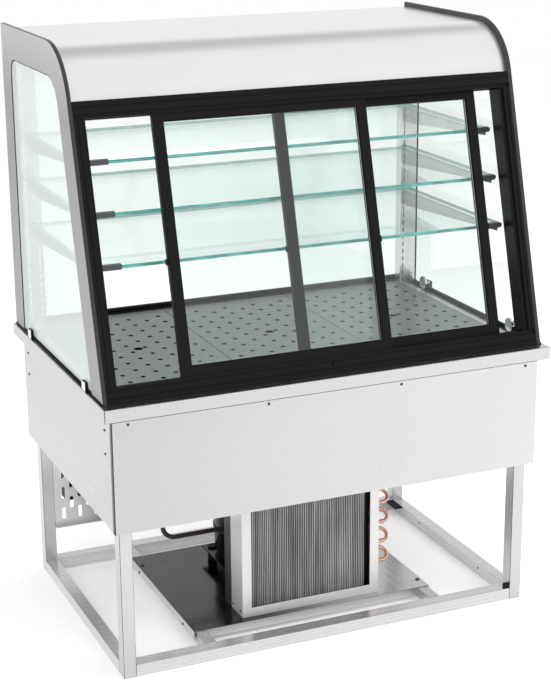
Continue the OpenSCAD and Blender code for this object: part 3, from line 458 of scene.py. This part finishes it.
# Soft edges catch the light on the sheet-metal and profile nodes: the width of each bevel
ROUNDED = {
    "legs": 0.0010, "bottom_rails": 0.0004, "tray_rails": 0.0004, "machine_tray": 0.0003,
    "counter_flange": 0.0010, "tank_front_panel": 0.0005, "condenser_casing": 0.0006,
    "side_panel_left": 0.0009, "side_panel_right": 0.0009, "frame_head": 0.0005,
    "frame_sill": 0.0005, "frame_jambs": 0.0005, "outer_door_frame": 0.0008,
    "inner_door_frame": 0.0008, "fan_shroud": 0.0005, "control_box": 0.0012,
    "glass_clamps": 0.0010, "lamp_housing": 0.0008, "compressor": 0.0010,
}
for name, width in ROUNDED.items():
    obj = nodes[name]
    weld = obj.modifiers.new("weld", "WELD")
    weld.merge_threshold = 1e-5
    bevel = obj.modifiers.new("bevel", "BEVEL")
    bevel.width = width
    bevel.segments = 2
    bevel.limit_method = "ANGLE"
    bevel.angle_limit = math.radians(40)
    bevel.use_clamp_overlap = True
    bevel.harden_normals = True
    # Their bevels take slot 1, the painted edge shade
    if name in DARK_EDGED:
        bevel.material = 1

# ---------------------------------------------------------------- mesh helpers


def piece(name, mesh_builder, material, body, smooth):
    """A new mesh object from a bmesh builder, painted and riding on a body.

    Edges sharper than smooth degrees stay sharp.
    """
    mesh = bpy.data.meshes.new(name)
    bm = bmesh.new()
    mesh_builder(bm)
    bmesh.ops.recalc_face_normals(bm, faces=bm.faces)
    bm.to_mesh(mesh)
    bm.free()
    obj = bpy.data.objects.new(name, mesh)
    bpy.context.scene.collection.objects.link(obj)
    mesh.materials.append(material)
    mesh.shade_smooth()
    mesh.set_sharp_from_angle(angle=math.radians(smooth))
    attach(obj, body)
    return obj


def lathe(bm, profile, segments, place):
    """Turns a profile of (radius, height) round local Z, then places it."""
    rings = []
    for radius, height in profile:
        if radius < 1e-7:
            rings.append([bm.verts.new(place @ Vector((0, 0, height)))])
            continue
        rings.append([
            bm.verts.new(place @ Vector((radius * math.cos(a), radius * math.sin(a), height)))
            for a in (2 * math.pi * k / segments for k in range(segments))
        ])
    for a, b in zip(rings, rings[1:]):
        for k in range(segments):
            after = (k + 1) % segments
            if len(a) == 1:
                bm.faces.new((a[0], b[k], b[after]))
            elif len(b) == 1:
                bm.faces.new((a[k], a[after], b[0]))
            else:
                bm.faces.new((a[k], a[after], b[after], b[k]))


def rounded_bar(bm, low, high, radius, place=Matrix.Identity(4)):
    """A box with rounded edges."""
    low, high = Vector(low), Vector(high)
    made = bmesh.ops.create_cube(bm, size=1.0)
    verts = made["verts"]
    for v in verts:
        v.co = Vector((low[i] + (high[i] - low[i]) * (v.co[i] + 0.5) for i in range(3)))
    edges = list({e for v in verts for e in v.link_edges})
    bevelled = bmesh.ops.bevel(bm, geom=edges, offset=radius, segments=2, profile=0.5, affect="EDGES")
    moved = {v for f in bevelled["faces"] for v in f.verts} | {v for v in verts if v.is_valid}
    for v in moved:
        v.co = place @ v.co


def facing(direction, spot):
    """A frame at spot whose local Z looks along direction."""
    turn = Vector((0, 0, 1)).rotation_difference(Vector(direction)).to_matrix().to_4x4()
    return Matrix.Translation(Vector(spot)) @ turn


# ---------------------------------------------------------------- doors


def door_plane():
    """The leaning plane of the doors: local X, depth into the case, height up the plane."""
    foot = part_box("frame_sill")[0]
    return Matrix.Translation((0, foot.y, foot.z)) @ Matrix.Rotation(-LEAN, 4, "X")


def door_box(node):
    """The lowest and highest corners of a node, measured in the door plane."""
    inverse = door_plane().inverted()
    points = [inverse @ v.co for v in nodes[node].data.vertices]
    low = Vector(min(p[i] for p in points) for i in range(3))
    high = Vector(max(p[i] for p in points) for i in range(3))
    return low, high


# How far the frame hides the glass, and the width, thickness and rounding of a bead
BITE = 0.008
BEAD = 0.0032
BEAD_DEPTH = 0.0022
BEAD_ROUNDING = 0.0006


def glass_beads(which):
    """Black beads round both faces of a door's glass, with a painted highlight on the faces that look
    towards its middle.
    """
    low, high = door_box(f"{which}_door_glass")
    inner_low = Vector((low.x + BITE, low.y, low.z + BITE))
    inner_high = Vector((high.x - BITE, high.y, high.z - BITE))
    plane = door_plane()

    def beads(bm):
        x0, x1, z0, z1 = inner_low.x, inner_high.x, inner_low.z, inner_high.z
        for y0 in (inner_low.y - BEAD_DEPTH, inner_high.y):
            y1 = y0 + BEAD_DEPTH
            for a, b in (
                ((x0, y0, z0), (x0 + BEAD, y1, z1)),
                ((x1 - BEAD, y0, z0), (x1, y1, z1)),
                ((x0 + BEAD, y0, z0), (x1 - BEAD, y1, z0 + BEAD)),
                ((x0 + BEAD, y0, z1 - BEAD), (x1 - BEAD, y1, z1)),
            ):
                rounded_bar(bm, a, b, BEAD_ROUNDING, plane)

    ring = piece(f"{which}_door_glass_beads", beads, seal_black, f"{which}_door", smooth=40)
    ring.data.materials.append(bead_highlight)
    # The faces with the painted highlight look along the glass, towards its middle
    middle = plane @ ((inner_low + inner_high) / 2)
    across = plane.to_3x3() @ Vector((0, 1, 0))
    for face in ring.data.polygons:
        inward = face.normal.dot(middle - face.center) > 0.05
        if inward and abs(face.normal.dot(across)) < 0.5:
            face.material_index = 1


for which in ("outer", "inner"):
    glass_beads(which)

# ---------------------------------------------------------------- case trim

PANEL_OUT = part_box("side_panel_left")[0].x
PANEL_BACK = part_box("side_panel_left")[1].y
FLANGE_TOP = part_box("counter_flange")[1].z
FRAME_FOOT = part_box("frame_sill")[0].y
# How far the seal goes into the panel, stands out of it and rises, and its rounding
SEAL_BITE = 0.0005
SEAL_STAND = 0.0016
SEAL_HEIGHT = 0.0045
SEAL_ROUNDING = 0.0007


def foot_seals(bm):
    """A thin seal along the foot of each side panel."""
    top = FLANGE_TOP + SEAL_HEIGHT
    for sign in (-1, 1):
        near, far = sorted((sign * (abs(PANEL_OUT) - SEAL_BITE), sign * (abs(PANEL_OUT) + SEAL_STAND)))
        rounded_bar(bm, (near, FRAME_FOOT, FLANGE_TOP), (far, PANEL_BACK, top), SEAL_ROUNDING)


piece("panel_foot_seals", foot_seals, seal_black, CABINET, smooth=40)

# ---------------------------------------------------------------- screws

# A cross-section of (radius, height), with a shallow socket
HEAD = [
    (0.0, -0.0002), (0.0035, -0.0002), (0.0036, 0.0004), (0.0030, 0.0013),
    (0.0019, 0.0017), (0.0015, 0.0016), (0.0013, 0.0006), (0.0, 0.0006),
]
TANK_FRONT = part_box("tank_front_panel")[0].y
TANK_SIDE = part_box("tank_shell")[1].x
COUNTER_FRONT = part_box("counter_flange")[0].y
TRAY_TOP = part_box("machine_tray")[1].z
TRAY_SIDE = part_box("machine_tray")[1].x
CASING_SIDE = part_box("condenser_casing")[1].x
HEAD_SEGMENTS = 24
TRAY_SCREW_SCALE = 1.6
FRONT_SCREWS = (-0.503, -0.167, 0.171, 0.508)
FRONT_SCREW_DROP = 0.046
# Screws on both sides of the case: which way they look, x, depth behind the flange's front, z
SIDE_SCREWS = [
    *(("out", TANK_SIDE, depth, z) for depth in (0.072, 0.702) for z in (0.544, 0.600)),
    *(("up", 0.307, depth, TRAY_TOP) for depth in (0.175, 0.545)),
    *(("out", CASING_SIDE, depth, 0.046) for depth in (0.168, 0.214)),
    *(("out", TRAY_SIDE, depth, 0.018) for depth in (0.213, 0.538)),
]


def screw_heads(bm):
    for x in FRONT_SCREWS:
        place = facing((0, -1, 0), (x, TANK_FRONT, FLANGE_TOP - FRONT_SCREW_DROP))
        lathe(bm, HEAD, HEAD_SEGMENTS, place)
    for sign in (-1, 1):
        for looks, x, depth, z in SIDE_SCREWS:
            spot = (sign * x, COUNTER_FRONT + depth, z)
            if looks == "up":
                place = facing((0, 0, 1), spot) @ Matrix.Scale(TRAY_SCREW_SCALE, 4)
            else:
                place = facing((sign, 0, 0), spot)
            lathe(bm, HEAD, HEAD_SEGMENTS, place)


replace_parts(piece("screw_heads", screw_heads, screw_dark, CABINET, smooth=35), "screws")

# ---------------------------------------------------------------- fans


BLADES = 5
# Points along a blade, and as many across it
ROWS = 7
BORE = 0.0044
HUB_SEGMENTS = 48
# The hub's depth, as a share of the node's
HUB_DEPTH = 0.92
# Where a blade starts, as a share of the hub's radius
ROOT = 0.96
# Radians that the tip runs ahead of the root
SWEEP = 0.35
# Rise of the middle of a blade, as a share of its width
CAMBER = 0.10
# Half the thickness that the middle adds, and half the thickness of the edge
BLADE_MIDDLE = 0.0011
BLADE_EDGE = 0.0002


def fan(node, hub, tip, chord, pitch_root, pitch_tip):
    """Swept, twisted blades on a domed hub, about the node's own centre."""
    low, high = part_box(node)
    centre = (low + high) / 2
    half = (high.y - low.y) / 2 * HUB_DEPTH
    axis = Matrix.Translation(centre) @ Matrix.Rotation(math.radians(90), 4, "X")
    root = hub * ROOT

    def blade_skins(bm, turn):
        """The two sides of a blade, each a grid of vertices from the root to the tip."""
        skins = ([], [])
        for i in range(ROWS):
            t = i / (ROWS - 1)
            r = root + (tip - root) * t
            pitch = math.radians(pitch_root + (pitch_tip - pitch_root) * t)
            width = chord * (0.75 + 0.5 * t - 0.25 * t ** 4)
            rows = ([], [])
            for j in range(ROWS):
                u = j / (ROWS - 1) - 0.5
                along = u * width
                angle = turn + (along * math.cos(pitch)) / r + SWEEP * t * t
                lift = along * math.sin(pitch) + CAMBER * width * (1 - (2 * u) ** 2)
                lift = max(-half + 0.001, min(half - 0.002, lift))
                thick = BLADE_MIDDLE * (1 - (2 * u) ** 4) + BLADE_EDGE
                for row, offset in zip(rows, (-thick, thick)):
                    point = Vector((r * math.cos(angle), r * math.sin(angle), lift + offset))
                    row.append(bm.verts.new(axis @ point))
            for skin, row in zip(skins, rows):
                skin.append(row)
        return skins

    def build(bm):
        lathe(bm, [
            (BORE, -half), (hub * 0.9, -half), (hub, -half + 0.002), (hub, half - 0.004),
            (hub * 0.93, half - 0.001), (hub * 0.6, half), (BORE, half),
        ], HUB_SEGMENTS, axis)
        last = ROWS - 1
        rim = (
            [(i, 0) for i in range(last)]
            + [(last, j) for j in range(last)]
            + [(i, last) for i in range(last, 0, -1)]
            + [(0, j) for j in range(last, 0, -1)]
        )
        for k in range(BLADES):
            skins = blade_skins(bm, 2 * math.pi * k / BLADES)
            for grid in skins:
                for i in range(last):
                    for j in range(last):
                        bm.faces.new((grid[i][j], grid[i][j + 1], grid[i + 1][j + 1], grid[i + 1][j]))
            a, b = skins
            for (i, j), (next_i, next_j) in zip(rim, rim[1:] + rim[:1]):
                bm.faces.new((a[i][j], a[next_i][next_j], b[next_i][next_j], b[i][j]))

    made = piece(f"{node}_blades", build, plastic_black, node, smooth=35)
    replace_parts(made, node)


fan("condenser_fan", hub=0.034, tip=0.119, chord=0.074, pitch_root=38, pitch_tip=22)
for node in ("evaporator_fan_left", "evaporator_fan_right"):
    fan(node, hub=0.028, tip=0.096, chord=0.055, pitch_root=34, pitch_tip=20)

# ---------------------------------------------------------------- floor, light, camera


FLOOR_REACH = 9
# Where the lights point
MIDDLE = (0, 0, 0.8)
# The room's grey flag: the way it lies in X and Y, where it fades in at its side, foot and top, its grey
FLAG_WAY = (-0.087, 0.996)
FLAG_SIDE = (0.40, 0.65)
FLAG_FOOT = (0.50, 0.60)
FLAG_TOP = (0.88, 0.97)
FLAG_GREY = 0.36
ROOM_STRENGTH = 0.95
FLOOR_GLOW = 0.33
# The photo's camera: sensor in millimetres, focal length and photo height in pixels
SENSOR = 36.0
FOCAL_PIXELS = 1674.0
PHOTO_PIXELS = 680.0
# Its angles in degrees, and its place
AZIMUTH, ELEVATION, ROLL = -23.32, 16.91, -0.44
CAMERA_SPOT = (-1.5721, -3.6558, 1.8654)


def stage_floor():
    """A pale floor, lit a little from within so that it stays as white as the photo's ground."""
    reach = FLOOR_REACH
    corners = [(-reach, -reach, 0), (reach, -reach, 0), (reach, reach, 0), (-reach, reach, 0)]
    mesh = bpy.data.meshes.new("floor")
    mesh.from_pydata(corners, [], [(0, 1, 2, 3)])
    floor = bpy.data.objects.new("floor", mesh)
    bpy.context.scene.collection.objects.link(floor)
    material, n = fresh("floor_pale")
    tone = n.ramp(n.noise((2, 2, 2)), [(0.3, grey(0.89)), (0.7, grey(0.91))])
    shader = n.add("ShaderNodeBsdfPrincipled")
    shader.inputs["Roughness"].default_value = 0.7
    shader.inputs["Specular IOR Level"].default_value = 0.1
    shader.inputs["Emission Strength"].default_value = FLOOR_GLOW
    n.link(tone, shader.inputs["Base Color"])
    n.link(tone, shader.inputs["Emission Color"])
    out = n.add("ShaderNodeOutputMaterial")
    n.link(shader.outputs["BSDF"], out.inputs["Surface"])
    mesh.materials.append(material)


def studio_world():
    """White behind the object; what the metal mirrors is a white room with one grey flag."""
    world = bpy.data.worlds.new("studio")
    world.use_nodes = True
    tree = world.node_tree
    tree.nodes.clear()
    n = Nodes(tree)
    x, y, z = n.axes("Generated")
    sky = n.ramp(n.span(z, 0.0, 1.0, (-0.2, 1.0)), [
        (0.0, grey(0.93)), (0.25, grey(1.0)), (0.7, grey(0.90)), (1.0, grey(0.86)),
    ])
    across = n.maths("ADD", n.maths("MULTIPLY", x, FLAG_WAY[0]), n.maths("MULTIPLY", y, FLAG_WAY[1]))
    level = n.maths("SQRT", n.maths("MAXIMUM", n.maths("SUBTRACT", 1.0, n.maths("MULTIPLY", z, z)), 0.001))
    side = n.span(n.maths("DIVIDE", across, level), 0.0, 1.0, FLAG_SIDE)
    low = n.span(z, 0.0, 1.0, FLAG_FOOT)
    high = n.span(z, 1.0, 0.0, FLAG_TOP)
    flag = n.maths("MULTIPLY", side, n.maths("MULTIPLY", low, high))
    shade = n.add("ShaderNodeMix", data_type="RGBA")
    n.link(flag, shade.inputs["Factor"])
    n.link(sky, shade.inputs["A"])
    shade.inputs["B"].default_value = (*grey(FLAG_GREY), 1)
    room = n.add("ShaderNodeBackground")
    room.inputs["Strength"].default_value = ROOM_STRENGTH
    n.link(shade.outputs["Result"], room.inputs["Color"])
    white = n.add("ShaderNodeBackground")
    white.inputs["Color"].default_value = (1, 1, 1, 1)
    path = n.add("ShaderNodeLightPath")
    mix = n.add("ShaderNodeMixShader")
    n.link(path.outputs["Is Camera Ray"], mix.inputs["Fac"])
    n.link(room.outputs["Background"], mix.inputs[1])
    n.link(white.outputs["Background"], mix.inputs[2])
    out = n.add("ShaderNodeOutputWorld")
    n.link(mix.outputs["Shader"], out.inputs["Surface"])
    bpy.context.scene.world = world


def area_light(name, spot, size, power):
    """A soft light that the metal and the glass don't mirror."""
    data = bpy.data.lights.new(name, "AREA")
    data.shape = "SQUARE"
    data.size = size
    data.energy = power
    light = bpy.data.objects.new(name, data)
    light.location = spot
    light.rotation_mode = "QUATERNION"
    light.rotation_quaternion = (Vector(MIDDLE) - Vector(spot)).to_track_quat("-Z", "Y")
    light.visible_glossy = False
    bpy.context.scene.collection.objects.link(light)


def photo_camera():
    """The camera that the photo was taken with, from a fit to the case's straight edges."""
    azimuth, elevation, roll = (math.radians(a) for a in (AZIMUTH, ELEVATION, ROLL))
    back = Vector((
        math.sin(azimuth) * math.cos(elevation),
        -math.cos(azimuth) * math.cos(elevation),
        math.sin(elevation),
    ))
    right = Vector((0, 0, 1)).cross(back).normalized()
    up = back.cross(right)
    x = math.cos(roll) * right + math.sin(roll) * up
    y = -math.sin(roll) * right + math.cos(roll) * up
    data = bpy.data.cameras.new("camera")
    data.sensor_width = SENSOR
    data.lens = SENSOR * FOCAL_PIXELS / PHOTO_PIXELS
    data.clip_end = 60.0
    camera = bpy.data.objects.new("camera", data)
    camera.matrix_world = Matrix((
        (x.x, y.x, back.x, CAMERA_SPOT[0]),
        (x.y, y.y, back.y, CAMERA_SPOT[1]),
        (x.z, y.z, back.z, CAMERA_SPOT[2]),
        (0, 0, 0, 1),
    ))
    bpy.context.scene.collection.objects.link(camera)
    bpy.context.scene.camera = camera


stage_floor()
studio_world()
area_light("key", (2.6, -3.2, 3.4), size=2.6, power=60)
area_light("fill", (-3.4, -1.6, 2.6), size=2.4, power=22)
area_light("top", (0.2, 0.5, 4.0), size=2.4, power=45)
photo_camera()

scene = bpy.context.scene
scene.view_settings.view_transform = "Standard"
scene.cycles.transparent_max_bounces = 48
scene.cycles.max_bounces = 14
scene.cycles.glossy_bounces = 8
